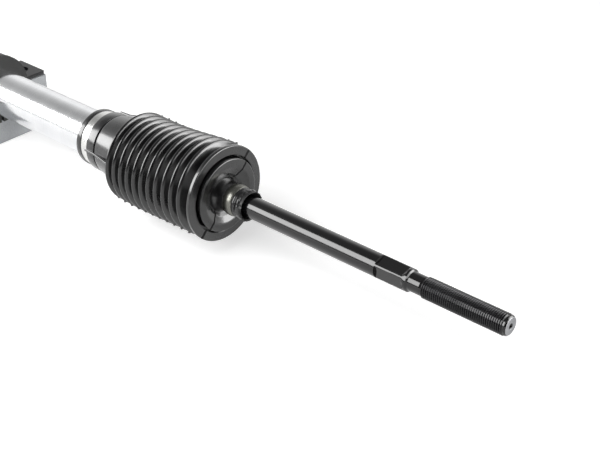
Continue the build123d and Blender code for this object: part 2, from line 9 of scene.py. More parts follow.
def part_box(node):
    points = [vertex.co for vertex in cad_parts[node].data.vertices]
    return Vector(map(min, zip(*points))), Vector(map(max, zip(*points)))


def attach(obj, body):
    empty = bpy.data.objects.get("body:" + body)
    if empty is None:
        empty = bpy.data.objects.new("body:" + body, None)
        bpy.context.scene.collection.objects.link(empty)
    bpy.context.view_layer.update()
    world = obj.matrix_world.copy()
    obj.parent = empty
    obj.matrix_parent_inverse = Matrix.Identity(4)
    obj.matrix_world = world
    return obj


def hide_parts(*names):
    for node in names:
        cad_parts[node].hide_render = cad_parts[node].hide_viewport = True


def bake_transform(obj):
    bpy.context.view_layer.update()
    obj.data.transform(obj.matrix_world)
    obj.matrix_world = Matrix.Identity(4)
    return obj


bl_info = {
    "name": "Steering rack dressing",
    "version": (1, 0, 0),
    "blender": (4, 5, 0),
    "location": "3D View > Sidebar > Rack",
    "description": "Boots, tie rods, clamps and finishes for a rack and pinion steering gear",
    "category": "Object",
}

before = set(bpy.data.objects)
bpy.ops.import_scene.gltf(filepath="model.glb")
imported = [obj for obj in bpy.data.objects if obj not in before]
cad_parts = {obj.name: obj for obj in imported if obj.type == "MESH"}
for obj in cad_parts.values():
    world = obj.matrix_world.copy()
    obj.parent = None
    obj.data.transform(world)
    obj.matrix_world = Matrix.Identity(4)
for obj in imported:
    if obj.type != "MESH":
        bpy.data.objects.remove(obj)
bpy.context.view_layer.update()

MM = 0.001
SIDES = {"right": 1, "left": -1}

# The rack's axis and the plane of each boot's front ring, from the frame.
CUFF_END = 26.6  # mm from the ring's plane to the boot's outer lip
bar_low, bar_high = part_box("rack_bar")
AXIS_HEIGHT = (bar_low.z + bar_high.z) / 2
RING_X = {
    "right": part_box("right_boot")[1].x - CUFF_END * MM,
    "left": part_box("left_boot")[0].x + CUFF_END * MM,
}

# Boot, in mm from the ring's plane: near the form of the solid boots.
NECK_END, BAND_START, BAND_END = -129.3, -124.2, -117.3
NECK_GROOVE = (-109.1, -107.5)
NECK_TOP, FIRST_CREST = -86.4, -82.7
RING_BACK, RING_FRONT = -0.8, 2.0
GROOVE_FLOOR, DISC_BACK, DISC_FRONT = -2.5, -3.8, 4.7
CUFF_START, CUFF_LIP, TORN_FROM = 9.0, 16.9, 23.6
TUBE_R, DISC_R, GROOVE_R = 17.5, 26.3, 27.9
BAND_SEAT_R, CLAMP_SEAT_R, CUFF_BORE_R = 20.1, 9.7, 7.95
DISH_SEAM = (2.9, 16.9)  # inside this circle lies the dish
CUFF_SEAM = (0.2, 12.9)  # inside this circle lies the cuff
FOOT_EDGE = (0.09, 12.78)  # inner edge of both, which clears the socket as the joint swings
PARTING_TURN = 46.0  # degrees from +Y towards +Z, and again opposite
PARTING_HALF = 2.0  # half the parting line's width, in degrees

# Tie rod, in mm from the ring's plane.
BALL_X, BALL_R = -10.0, 12.5
FLATS_RUNOUT = 2.2
FLATS_TURN = 12  # degrees from +Y to the first flat
THREAD_START, THREAD_END = 171.6, 230.4
THREAD_CORE_R, THREAD_FOOT_R, THREAD_FADE_R, THREAD_CREST_R = 6.15, 6.05, 6.2, 6.98


# Small tools


def srgb(text):
    """Linear colour from an sRGB hex value."""
    parts = [int(text[i : i + 2], 16) / 255 for i in (1, 3, 5)]
    return [c / 12.92 if c <= 0.04045 else ((c + 0.055) / 1.055) ** 2.4 for c in parts] + [1.0]


def add(tree, kind, sockets=None, **settings):
    """Add a node. Each socket takes a value, or a link from another node's output.

    Sockets without a name of their own go by number: Map Range has its value, from and from,
    to and to at 0 to 4, and Mix its factor at 0, numbers at 2 and 3 and colours at 6 and 7.
    """
    node = tree.nodes.new(kind)
    for key, value in settings.items():
        setattr(node, key, value)
    for key, value in (sockets or {}).items():
        if isinstance(value, bpy.types.NodeSocket):
            tree.links.new(value, node.inputs[key])
        else:
            node.inputs[key].default_value = value
    return node


def finish(name, colours, roughness, grain, metallic=0.0, stretch=(1, 1, 1), bump=0.3, depth=0.05, **sockets):
    """A material whose colour and roughness drift between two values in a grain of real size.

    colours is two hex values, roughness two numbers, grain its size in mm, stretch how
    finely the grain runs along each axis, and depth the height of its relief in mm.
    """
    made = bpy.data.materials.new(name)
    made.use_nodes = True
    tree = made.node_tree
    tree.nodes.clear()
    place = add(tree, "ShaderNodeTexCoord").outputs["Object"]
    run = add(tree, "ShaderNodeMapping", {"Vector": place, "Scale": stretch}).outputs[0]
    fine = add(
        tree, "ShaderNodeTexNoise", {"Vector": run, "Scale": 1000 / grain, "Detail": 4.0, "Roughness": 0.6}
    )
    broad = add(tree, "ShaderNodeTexNoise", {"Vector": place, "Scale": 1000 / (grain * 30), "Detail": 3.0})
    both = add(tree, "ShaderNodeMix", {0: 0.5, 2: fine.outputs[0], 3: broad.outputs[0]}).outputs[0]
    drift = add(tree, "ShaderNodeMapRange", {0: both, 1: 0.35, 2: 0.65}).outputs[0]
    colour = add(
        tree, "ShaderNodeMix", {0: drift, 6: srgb(colours[0]), 7: srgb(colours[1])}, data_type="RGBA"
    ).outputs[2]
    rough = add(tree, "ShaderNodeMapRange", {0: drift, 3: roughness[0], 4: roughness[1]}).outputs[0]
    relief = add(
        tree, "ShaderNodeBump", {"Strength": bump, "Distance": depth * MM, "Height": fine.outputs[0]}
    ).outputs[0]
    if "Coat Weight" in sockets:
        sockets["Coat Normal"] = relief
    shader = add(
        tree,
        "ShaderNodeBsdfPrincipled",
        {"Base Color": colour, "Roughness": rough, "Metallic": metallic, "Normal": relief, **sockets},
    )
    add(tree, "ShaderNodeOutputMaterial", {"Surface": shader.outputs[0]})
    return made


# Materials


def moulded_rubber():
    """Chloroprene rubber, injection moulded: satin black with a soft waxy bloom."""
    return finish(
        "moulded rubber",
        ("#050506", "#0c0c0d"),
        (0.24, 0.36),
        0.6,
        bump=0.4,
        depth=0.015,
        **{"Coat Weight": 0.8, "Coat Roughness": 0.13},
    )


def torn_rubber():
    """The same rubber where it was torn from the mould: rough, with small shining tears."""
    return finish("torn rubber", ("#050506", "#0b0b0c"), (0.36, 0.6), 0.9, bump=0.8, depth=0.15)


def seam_painted_shade():
    """Painted shade for the sunk parting line: dead black, standing in for the shade that falls in the seam.
    """
    return finish("seam painted shade", ("#020202", "#060606"), (0.8, 0.95), 0.5, depth=0.02)


def matt_rubber():
    """Natural rubber bush, press moulded: dull black with talc left in its grain."""
    return finish("matt rubber", ("#121212", "#232322"), (0.6, 0.75), 0.8, depth=0.05)


def gloss_black_rod():
    """Cold drawn steel under black paint: smooth, with fine drawing lines along it."""
    return finish(
        "gloss black rod",
        ("#060607", "#0c0c0d"),
        (0.1, 0.16),
        0.7,
        stretch=(0.06, 1, 1),
        bump=0.1,
        depth=0.01,
        **{"Coat Weight": 0.3, "Coat Roughness": 0.06},
    )


def black_thread():
    """Rolled thread, blackened: crests burnished a little lighter than the roots."""
    return finish("black thread", ("#121213", "#2a2a2c"), (0.16, 0.26), 0.4, 0.4, depth=0.01)


def milled_face():
    """Faced and chamfered end of the rod, worn to grey steel."""
    return finish("milled face", ("#87888b", "#aeafb1"), (0.34, 0.5), 0.35, metallic=0.9, depth=0.02)


def bright_tube():
    """Drawn steel tube, bright zinc plated: near mirror, with faint rings from polishing."""
    return finish(
        "bright tube", ("#e6e7e9", "#f3f4f5"), (0.12, 0.18), 0.5, 1.0, (1, 0.05, 0.05), 0.05, 0.004
    )


def stainless_band():
    """Stainless strip, cold rolled: pale and soft in its shine."""
    return finish("stainless band", ("#d4d4d2", "#ededeb"), (0.17, 0.25), 0.4, 1.0, depth=0.006)


def passivated_band():
    """Zinc plate with olive chromate: grey with a trace of olive and a cloudy film."""
    return finish("passivated band", ("#75756f", "#94948e"), (0.3, 0.42), 0.9, 1.0, bump=0.1, depth=0.01)


def sand_cast_aluminium():
    """Aluminium from a sand mould, shot blasted: pale grey with a fine pebbled skin."""
    return finish("sand cast aluminium", ("#8e9092", "#a9abad"), (0.42, 0.58), 1.1, 0.9, bump=0.6, depth=0.12)


def turned_alloy():
    """Machined aluminium: even, with turning lines."""
    return finish("turned alloy", ("#b9babc", "#cfd0d2"), (0.25, 0.35), 0.4, 1.0, depth=0.02)


def ground_steel():
    """Ground and hardened steel: dense grey with grinding lines round it."""
    return finish(
        "ground steel", ("#9b9c9f", "#b8b9bc"), (0.2, 0.3), 0.4, 1.0, (1, 0.05, 0.05), 0.2, 0.01
    )


def zinc_plate():
    """Steel with clear zinc plate: slightly blue, softly cloudy."""
    return finish("zinc plate", ("#a9adb1", "#c8cbcd"), (0.28, 0.42), 0.8, 1.0, depth=0.02)


def black_coated_steel():
    """Pressed steel strap under black powder paint: satin with orange peel."""
    return finish("black coated steel", ("#131314", "#1d1d1e"), (0.32, 0.42), 1.6, bump=0.3, depth=0.06)


def black_phosphate():
    """Forged steel, phosphated and oiled: dark grey and dry."""
    return finish("black phosphate", ("#1b1b1d", "#2c2c2e"), (0.42, 0.55), 0.6, 0.3, depth=0.03)


def acetal():
    """Acetal bearing plastic, moulded: ivory with a dull wax shine."""
    return finish("acetal", ("#d9d5c8", "#e6e3d8"), (0.32, 0.42), 1.2, depth=0.01)


NODE_FINISH = {
    sand_cast_aluminium: ["pinion_housing", "mount_saddle"],
    bright_tube: ["rack_tube"],
    matt_rubber: ["mount_bush", "pinion_dust_cover", "pinion_seal", "yoke_o_ring"],
    black_coated_steel: ["mount_strap"],
    ground_steel: ["rack_bar", "pinion_shaft", "upper_bearing", "lower_bearing", "yoke_spring"],
    zinc_plate: ["pinion_retainer", "yoke_plug", "yoke_locknut", "right_lock_washer", "left_lock_washer"],
    turned_alloy: ["yoke"],
    acetal: ["rack_bush", "yoke_liner", "right_ball_seat", "left_ball_seat"],
    black_phosphate: ["right_inner_socket", "left_inner_socket"],
    stainless_band: ["right_large_clamp", "left_large_clamp"],
}


# Mesh tools, in mm about X from a ring's plane


def new_piece(name, bm, side, material, smooth=35):
    """Place a bmesh drawn in mm from the ring's plane, +X outwards, at one end of the rack."""
    hand = SIDES[side]
    bmesh.ops.remove_doubles(bm, verts=bm.verts, dist=1e-4)
    place = Matrix.Translation((RING_X[side], 0, AXIS_HEIGHT)) @ Matrix.Diagonal((hand * MM, MM, MM, 1))
    bmesh.ops.transform(bm, matrix=place, verts=bm.verts)
    bmesh.ops.recalc_face_normals(bm, faces=bm.faces)
    return keep(name, bm, material, smooth)


def keep(name, bm, material, smooth=35):
    """Turn a finished bmesh, already in place, into an object."""
    mesh = bpy.data.meshes.new(name)
    bm.to_mesh(mesh)
    bm.free()
    mesh.shade_smooth()
    mesh.set_sharp_from_angle(angle=radians(smooth))
    piece = bpy.data.objects.new(name, mesh)
    bpy.context.scene.collection.objects.link(piece)
    mesh.materials.append(material)
    return piece


def outline(bm, corners, segments=4, closed=True):
    """Draw an outline of (x, radius, rounding) corners at the parting line, and round them."""
    turn = radians(PARTING_TURN)
    verts = [bm.verts.new((x, r * cos(turn), r * sin(turn))) for x, r, _ in corners]
    face = bm.faces.new(verts)
    for size in sorted({c[2] for c in corners if c[2]}):
        spots = [Vector((x, r * cos(turn), r * sin(turn))) for x, r, e in corners if e == size]
        picked = [v for v in bm.verts if any((v.co - s).length < 1e-5 for s in spots)]
        bmesh.ops.bevel(
            bm, geom=picked, offset=size, segments=segments, profile=0.5, affect="VERTICES", material=-1
        )
    edges = [e for e in bm.edges if e.is_valid]
    bmesh.ops.delete(bm, geom=list(bm.faces), context="FACES_ONLY")
    return edges


def lathe(corners, steps=144, segments=4):
    """A closed body of revolution, with narrow columns of faces along its parting lines."""
    bm = bmesh.new()
    last = outline(bm, corners, segments)
    narrow = radians(PARTING_HALF)
    wide = pi - 2 * narrow
    for angle, count in [(narrow, 1), (wide, steps // 2), (narrow, 1)] * 2:
        spun = bmesh.ops.spin(
            bm, geom=last, axis=(1, 0, 0), cent=(0, 0, 0), angle=angle, steps=count, use_duplicate=False
        )
        last = [g for g in spun["geom_last"] if isinstance(g, bmesh.types.BMEdge)]
    bmesh.ops.remove_doubles(bm, verts=bm.verts, dist=1e-3)
    bmesh.ops.recalc_face_normals(bm, faces=bm.faces)
    return bm


def radius_of(point):
    """Distance from the rack's axis."""
    return (point.y**2 + point.z**2) ** 0.5


def off_parting(point):
    """Degrees from a point to the nearer of the two parting lines."""
    turn = (degrees(atan2(point.z, point.y)) - PARTING_TURN) % 180
    return min(turn, 180 - turn)


def share_of(value, start, length):
    """How far a value has come along a length, from 0 to 1."""
    return min(max((value - start) / length, 0), 1)


def mark_seam(bm, start):
    """Give the parting line's own columns of faces, in front of start, the second material, which paints them
    dead black as shade.
    """
    for face in bm.faces:
        middle = face.calc_center_median()
        if middle.x > start and off_parting(middle) < PARTING_HALF:
            face.material_index = 1


def press_parting(bm, relief):
    """Raise or sink the parting line by relief(x, radius), in mm along the surface's normal."""
    bm.normal_update()
    moves = []
    for v in bm.verts:
        radius = radius_of(v.co)
        if radius > 1 and off_parting(v.co) < PARTING_HALF / 3:
            moves.append((v, v.normal * relief(v.co.x, radius)))
    for v, step in moves:
        v.co += step


# Boots


def crest(boot, i):
    """Place and radius of a crest: the first are lower, and the middle ones lie back and lower."""
    share = i / (boot.folds - 1)
    middle = sin(pi * share)
    place = FIRST_CREST + i * boot.pitch - boot.bunching * middle
    return place, boot.crest_radius - boot.taper * (1 - share) ** 2 - boot.waist * middle


def fold_corners(boot, inset):
    """Corners of the convolutions, from the neck outwards, moved in by a wall.

    A crest is narrow and rounded on the neck's side, and its top slopes down to the front.
    """
    corners = []
    soft = 0 if inset else 1
    for i in range(boot.folds):
        middle, radius = crest(boot, i)
        half = boot.crest_width / 2
        corners += [
            (middle - half + inset, radius - 0.25 - inset, 0.5 * soft),
            (middle - half * 0.2, radius - inset, 0.6 * soft),
            (middle + half * 0.75 - inset, radius - boot.crest_slope - inset, 0.8 * soft),
        ]
        valley = (middle + crest(boot, i + 1)[0]) / 2 + 0.15
        half = boot.valley_width / 2 + inset
        corners += [(valley + e * half, boot.valley_radius - inset, 0.5 * soft) for e in (-1, 1)]
    return corners


def bellows_corners(boot):
    """Outline of the boot from its neck to its front ring."""
    wall = boot.wall
    outside = [
        (NECK_END, TUBE_R, 0),
        (NECK_END, 21.3, 1.0),
        (BAND_START, 21.3, 1.0),
        (BAND_START, BAND_SEAT_R, 0),
        (BAND_END, BAND_SEAT_R, 0),
        (BAND_END, 22.3, 0.8),
        (NECK_GROOVE[0], 22.4, 0.4),
        (NECK_GROOVE[0], 21.2, 0),
        (NECK_GROOVE[1], 21.2, 0),
        (NECK_GROOVE[1], 22.7, 0.4),
        (-106.0, 22.9, 0),
        (-90.0, 24.9, 0),
        (-88.6, 25.1, 0.8),
        (NECK_TOP, boot.valley_radius - 0.6, 0.8),
    ]
    ring = [
        (RING_BACK, boot.ring_radius, 0.75),
        (RING_FRONT, boot.ring_radius, 0.75),
        (RING_FRONT, boot.ring_radius - 1.2, 0),
        (RING_FRONT, 28.7, 0),
        (RING_FRONT, GROOVE_R, 0.4),
        (GROOVE_FLOOR, GROOVE_R, 0.3),
        (GROOVE_FLOOR, DISC_R, 0.3),
        (DISC_FRONT, DISC_R, 0.7),
        (DISC_FRONT, DISC_R - 1.2, 0),
        (DISC_FRONT, 21.2, 0),
        (DISC_FRONT - 0.15, 20.3, 0.7),
        (*DISH_SEAM, 0),
        (DISH_SEAM[0] - wall, DISH_SEAM[1] + 0.4, 0),
        (DISC_FRONT - wall - 0.3, 21.5, 0),
        (DISC_FRONT - wall, DISC_R - wall, 0),
        (DISC_BACK, DISC_R - wall, 0),
    ]
    inside = fold_corners(boot, wall)[::-1]
    back = [
        (NECK_TOP, boot.valley_radius - wall - 0.8, 0),
        (NECK_GROOVE[1], 20.0, 0),
        (NECK_GROOVE[0], TUBE_R, 0),
    ]
    return outside + fold_corners(boot, 0) + ring + inside + back


def rib(bm, boot, turn):
    """A moulded fin along the neck, from the band's shoulder to the first convolution."""
    half = boot.rib_width / 2
    height = boot.rib_height
    corners = [
        (BAND_END, 20.3),
        (BAND_END, 22.3 + height),
        (NECK_GROOVE[1], 22.7 + height),
        (NECK_TOP + 1.2, boot.valley_radius + height),
        (NECK_TOP + 1.2, boot.valley_radius - 0.8),
        (NECK_GROOVE[1], 21.5),
        (NECK_GROOVE[0], 20.3),
    ]
    face = bm.faces.new([bm.verts.new((x, r, -half)) for x, r in corners])
    raised = bmesh.ops.extrude_face_region(bm, geom=[face])
    top = [g for g in raised["geom"] if isinstance(g, bmesh.types.BMVert)]
    bmesh.ops.translate(bm, vec=(0, 0, boot.rib_width), verts=top)
    whole = list(face.verts) + top
    edges = {e for v in whole for e in v.link_edges if abs(e.verts[0].co.z - e.verts[1].co.z) < 1e-6}
    bmesh.ops.rotate(bm, verts=whole, cent=(0, 0, 0), matrix=Matrix.Rotation(turn, 3, "X"))
    bmesh.ops.bevel(
        bm, geom=list(edges), offset=half * 0.95, segments=6, profile=0.5, affect="EDGES", material=-1
    )


def flash(x, radius):
    """Relief of the parting line: a fin on each crest, and a seam sunk in the end's faces."""
    if x > RING_BACK:
        return -1.0
    if x < NECK_TOP:
        return 0.1
    return 0.5 + 0.5 * sin(1.7 * x) if radius > 31.5 else 0.1


def settle(bm, boot):
    """Let the soft folds hang in the middle, and tip the end's rim up."""
    for v in bm.verts:
        hang = share_of(v.co.x, -98, 69)
        rise = share_of(v.co.x, -29, 38)
        outer = share_of(radius_of(v.co), 18, 8)
        v.co.z += outer * (boot.lift * sin(pi * rise) - boot.sag * sin(pi * hang))


def dish_corners():
    """Outline of the dish that the cuff stands in."""
    return [
        (*DISH_SEAM, 0),
        (2.3, 15.6, 0.5),
        (0.7, 13.9, 0.7),
        (CUFF_SEAM[0], 13.3, 0.3),
        (*CUFF_SEAM, 0),
        (*FOOT_EDGE, 0),
        (CUFF_SEAM[0] - 0.8, 13.9, 0),
        (DISH_SEAM[0] - 1.2, DISH_SEAM[1] + 0.4, 0),
    ]


def cuff_corners():
    """Outline of the cuff: its foot in the dish, the clamp's seat and the lip on the tie rod."""
    return [
        (*FOOT_EDGE, 0),
        (*CUFF_SEAM, 0),
        (1.25, 12.45, 0.3),
        (2.6, 11.6, 0.6),
        (4.6, 10.5, 1.2),
        (CUFF_START, 10.3, 0.3),
        (CUFF_START, CLAMP_SEAT_R, 0),
        (CUFF_LIP, CLAMP_SEAT_R, 0),
        (CUFF_LIP, 10.5, 0.3),
        (18.4, 10.5, 0.5),
        (19.4, 9.9, 0.5),
        (20.6, 10.9, 0.8),
        (23.4, 10.8, 0.8),
        (24.4, 10.1, 0.4),
        (CUFF_END, 10.6, 0.3),
        (CUFF_END, 9.9, 0.2),
        (CUFF_END - 2.6, CUFF_BORE_R, 0),
        (CUFF_START, CUFF_BORE_R, 0),
        (3.9, 9.5, 0),
        (2.4, 11.15, 0),
    ]


def ragged_lip(bm):
    """Uneven flash round the lip, where the cuff was torn from its mould."""
    bm.normal_update()
    for v in bm.verts:
        radius = radius_of(v.co)
        share = (v.co.x - CUFF_LIP - 1) / (CUFF_END - CUFF_LIP - 1)
        if share > 0 and radius > 8.3:
            coarse, fine = noise.noise(v.co * 0.28), noise.noise(v.co * 0.9)
            v.co += v.normal * share * (0.9 * coarse + 0.45 * fine)
            v.co.x -= share * (0.5 + 0.8 * coarse)


# Tie rods


def rod_corners(rod):
    """Outline of the tie rod from its ball to its faced end."""
    ball = [(BALL_X - BALL_R, 0.0, 0)]
    for step in range(1, 16):
        turn = radians(180 - step * 9.2)
        ball.append((BALL_X + BALL_R * cos(turn), BALL_R * sin(turn), 0))
    radius = rod.radius
    return ball + [
        (2.6, 7.0, 0.8),
        (8.0, 7.0, 0.3),
        (8.6, radius, 0.3),
        (rod.flats_start, radius, 0),
        (rod.flats_start + 0.05, radius, 0),
        (rod.flats_end, radius, 0),
        (rod.flats_end + FLATS_RUNOUT / 2, radius, 0),
        (rod.flats_end + FLATS_RUNOUT, radius, 0),
        (160.5, radius - 0.1, 0),
        (161.2, 6.3, 0.3),
        (170.0, 6.3, 0.2),
        (170.4, THREAD_CORE_R, 0),
        (230.9, THREAD_CORE_R, 0),
        (231.3, 6.6, 0.15),
        (232.4, 5.6, 0.15),
        (232.4, 2.0, 0.1),
        (230.6, 1.0, 0),
        (228.6, 0.95, 0),
        (228.0, 0.0, 0),
    ]


def mill_flats(bm, rod):
    """Cut four wrench flats by moving points in to the flats' planes."""
    end = rod.flats_end
    runout = end + FLATS_RUNOUT
    for v in bm.verts:
        if not rod.flats_start + 0.02 < v.co.x < runout:
            continue
        slope = max(0.0, v.co.x - end) / (runout - end)
        limit = rod.flats_across / 2 + slope * (rod.radius - rod.flats_across / 2)
        for i in range(4):
            turn = radians(FLATS_TURN + 90 * i)
            normal = Vector((0, cos(turn), sin(turn)))
            over = v.co.dot(normal) - limit
            if over > 0:
                v.co -= normal * over


def thread_ridge(rod):
    """The thread's helical ridge, closed at both ends, over the rod's thread core."""
    bm = bmesh.new()
    pitch = rod.thread_pitch
    start, end = THREAD_START, THREAD_END
    turns = (end - start) / pitch
    count = int(turns * rod.thread_steps)
    foot, crown = THREAD_FOOT_R, THREAD_CREST_R
    section = [(-0.46 * pitch, foot), (-0.07 * pitch, crown), (0.07 * pitch, crown), (0.46 * pitch, foot)]
    verts = [bm.verts.new((start + x, r, 0)) for x, r in section]
    first = bm.faces.new(verts)
    edges = list(first.edges)
    bmesh.ops.delete(bm, geom=[first], context="FACES_ONLY")
    spun = bmesh.ops.spin(
        bm,
        geom=edges,
        axis=(1, 0, 0),
        cent=(0, 0, 0),
        dvec=((end - start) / count, 0, 0),
        angle=2 * pi * turns,
        steps=count,
        use_duplicate=False,
    )
    last = [g for g in spun["geom_last"] if isinstance(g, bmesh.types.BMEdge)]
    bmesh.ops.holes_fill(bm, edges=edges + last, sides=8)
    fade = 4 * pitch / 5
    for v in bm.verts:
        radius = radius_of(v.co)
        depth = min(1.0, (v.co.x - start + pitch / 2) / fade, (end + pitch / 2 - v.co.x) / fade)
        if radius > THREAD_FADE_R and depth < 1:
            scale = (THREAD_FADE_R + (radius - THREAD_FADE_R) * max(depth, 0)) / radius
            v.co.y *= scale
            v.co.z *= scale
    bmesh.ops.recalc_face_normals(bm, faces=bm.faces)
    return bm


# Clamps


def small_band_corners():
    """Outline of the small clamp: a strip bowed outwards between its edges."""
    middle = (CUFF_START + CUFF_LIP) / 2
    return [
        (CUFF_START + 0.2, 10.05, 0.1),
        (CUFF_LIP - 0.2, 10.05, 0.1),
        (CUFF_LIP - 0.1, 10.5, 0.15),
        (middle + 1.5, 11.3, 1.4),
        (middle - 1.5, 11.3, 1.4),
        (CUFF_START + 0.1, 10.5, 0.15),
    ]


def band_ear(start, width, radius, thickness, height):
    """A pinched ear: a strip bent up off the band, in mm, on the side away from the front."""
    bm = bmesh.new()
    half = height
    path = [(-half, 0), (-half * 0.72, height), (half * 0.72, height), (half, 0)]
    verts = [bm.verts.new((start, y, radius + z)) for y, z in path]
    edges = [bm.edges.new(pair) for pair in zip(verts, verts[1:])]
    grown = bmesh.ops.extrude_edge_only(bm, edges=edges)
    top = [g for g in grown["geom"] if isinstance(g, bmesh.types.BMVert)]
    bmesh.ops.translate(bm, vec=(width, 0, 0), verts=top)
    inner = [e for e in bm.edges if len(e.link_faces) == 2]
    bends = [e for e in inner if abs(e.verts[0].co.x - e.verts[1].co.x) > width / 2]
    bmesh.ops.bevel(bm, geom=bends, offset=0.9, segments=4, profile=0.5, affect="EDGES", material=-1)
    bmesh.ops.recalc_face_normals(bm, faces=bm.faces)
    bmesh.ops.solidify(bm, geom=list(bm.faces), thickness=thickness)
    bmesh.ops.rotate(bm, verts=bm.verts, cent=(0, 0, 0), matrix=Matrix.Rotation(radians(225), 3, "X"))
    return bm


# Stage


# Lamps that only the shine sees: name, place along the rack from the right boot's ring,
# direction, distance, size and share of the key's power.
STRIPS = (
    ("key strip", -1.84, (0, -0.839, 0.545), 1.4, (3.25, 1.13), 1.0),
    ("rear strip", 0, (0.62, 0.65, 0.44), 1.6, (1.4, 1.3), 0.27),
    ("side strip", 0, (0.93, 0.35, 0.33), 1.5, (1.6, 0.9), 0.25),
)


def pale_floor():
    """Matt white board, which glows a little to the eye so that it reads as white."""
    made = bpy.data.materials.new("pale floor")
    made.use_nodes = True
    tree = made.node_tree
    tree.nodes.clear()
    path = add(tree, "ShaderNodeLightPath")
    shine = add(
        tree, "ShaderNodeMath", {0: path.outputs["Is Glossy Ray"], 1: 0.2}, operation="MULTIPLY"
    ).outputs[0]
    lift = add(
        tree,
        "ShaderNodeMath",
        {0: path.outputs["Is Camera Ray"], 1: 0.5, 2: shine},
        operation="MULTIPLY_ADD",
    )
    glow = add(tree, "ShaderNodeEmission", {"Color": srgb("#ffffff"), "Strength": lift.outputs[0]})
    board = add(tree, "ShaderNodeBsdfDiffuse", {"Color": srgb("#e6e6e6")})
    both = add(tree, "ShaderNodeAddShader", {0: board.outputs[0], 1: glow.outputs[0]})
    add(tree, "ShaderNodeOutputMaterial", {"Surface": both.outputs[0]})
    return made


def studio_world(fill):
    """White walls behind and at the far end, a grey ceiling and a dark room towards +X and -Y."""
    world = bpy.data.worlds.new("studio")
    world.use_nodes = True
    tree = world.node_tree
    tree.nodes.clear()
    path = add(tree, "ShaderNodeLightPath")
    towards = add(tree, "ShaderNodeTexCoord").outputs["Generated"]
    height = add(tree, "ShaderNodeSeparateXYZ", {0: towards}).outputs[2]
    low = add(tree, "ShaderNodeMapRange", {0: height, 1: 0.4, 2: 0.75, 3: 1.0, 4: 0.26}).outputs[0]
    front = add(tree, "ShaderNodeVectorMath", {0: towards, 1: (0.66, -0.75, 0)}, operation="DOT_PRODUCT")
    behind = add(
        tree, "ShaderNodeMapRange", {0: front.outputs["Value"], 1: -0.1, 2: 0.6, 3: 1.0, 4: 0.05}
    ).outputs[0]
    wall = add(tree, "ShaderNodeMath", {0: low, 1: behind}, operation="MULTIPLY").outputs[0]
    glossy = add(tree, "ShaderNodeMix", {0: path.outputs["Is Glossy Ray"], 2: fill, 3: wall}).outputs[0]
    strength = add(tree, "ShaderNodeMix", {0: path.outputs["Is Camera Ray"], 2: glossy, 3: 1.0}).outputs[0]
    back = add(tree, "ShaderNodeBackground", {"Color": srgb("#ffffff"), "Strength": strength})
    add(tree, "ShaderNodeOutputWorld", {"Surface": back.outputs[0]})
    return world


def softbox(name, target, direction, distance, size, power):
    """A rectangular lamp that faces the target from a direction."""
    lamp = bpy.data.lights.new(name, "AREA")
    lamp.shape = "RECTANGLE"
    lamp.size, lamp.size_y = size
    lamp.energy = power
    holder = bpy.data.objects.new(name, lamp)
    away = Vector(direction).normalized()
    holder.location = target + away * distance
    holder.rotation_euler = away.to_track_quat("Z", "Y").to_euler()
    holder.visible_camera = False
    bpy.context.scene.collection.objects.link(holder)
    return holder


# What a user would change


class RackBootSizes(bpy.types.PropertyGroup):
    """Sizes of both boots, in mm"""

    folds: IntProperty(name="Folds", description="Convolutions behind the front ring", default=11, min=1)
    pitch: FloatProperty(name="Pitch", description="From one crest to the next", default=7.32)
    bunching: FloatProperty(name="Bunching", description="How far the middle folds lie back", default=1.9)
    taper: FloatProperty(name="Taper", description="How much lower the first crest is", default=1.3)
    waist: FloatProperty(name="Waist", description="How much lower the middle crest is", default=0.6)
    sag: FloatProperty(name="Sag", description="How far the middle folds hang", default=1.7)
    lift: FloatProperty(name="Lift", description="How far the end's rim is tipped up", default=1.1)
    crest_radius: FloatProperty(name="Crest radius", description="Radius of the folds", default=34.6)
    valley_radius: FloatProperty(name="Valley radius", description="Radius between folds", default=27.5)
    crest_width: FloatProperty(name="Crest width", description="Width of a crest", default=2.4)
    crest_slope: FloatProperty(name="Crest slope", description="Fall of a crest's top", default=1.0)
    valley_width: FloatProperty(name="Valley width", description="Width of a valley", default=1.4)
    ring_radius: FloatProperty(name="Ring radius", description="Radius of the front ring", default=34.5)
    wall: FloatProperty(name="Wall", description="Thickness of the rubber", default=1.2)
    rib_width: FloatProperty(name="Rib width", description="Width of a neck rib", default=2.0)
    rib_height: FloatProperty(name="Rib height", description="Height of a neck rib", default=1.2)
    ribs: IntProperty(name="Ribs", description="Fins round the neck", default=3, min=0)


class RackRodSizes(bpy.types.PropertyGroup):
    """Sizes of both tie rods, in mm"""

    radius: FloatProperty(name="Radius", description="Radius of the plain rod", default=7.6)
    flats_across: FloatProperty(name="Across flats", description="Spanner size of the flats", default=11.6)
    flats_start: FloatProperty(name="Flats start", description="From the ring's plane", default=136.4)
    flats_end: FloatProperty(name="Flats end", description="From the ring's plane", default=156.8)
    thread_pitch: FloatProperty(name="Thread pitch", description="From crest to crest", default=1.5)
    thread_steps: IntProperty(name="Thread steps", description="Faces in one turn", default=48, min=12)


class RackStage(bpy.types.PropertyGroup):
    """Floor, light and camera"""

    lens: FloatProperty(name="Lens", description="Focal length", default=76.8, subtype="DISTANCE_CAMERA")
    camera_offset: FloatVectorProperty(
        name="Camera",
        description="From the right boot's front ring",
        default=(0.5423, -0.5298, 0.4298),
        unit="LENGTH",
    )
    aim: FloatVectorProperty(name="Aim", description="Direction of view", default=(-0.5706, 0.6396, -0.5151))
    key: FloatProperty(name="Key", description="Power of the long softbox", default=92.0, unit="POWER")
    main: FloatProperty(
        name="Main", description="Power of the lamp that matt surfaces see", default=34.0, unit="POWER"
    )
    fill: FloatProperty(name="Fill", description="World light on matt surfaces", default=0.3)


# Operators


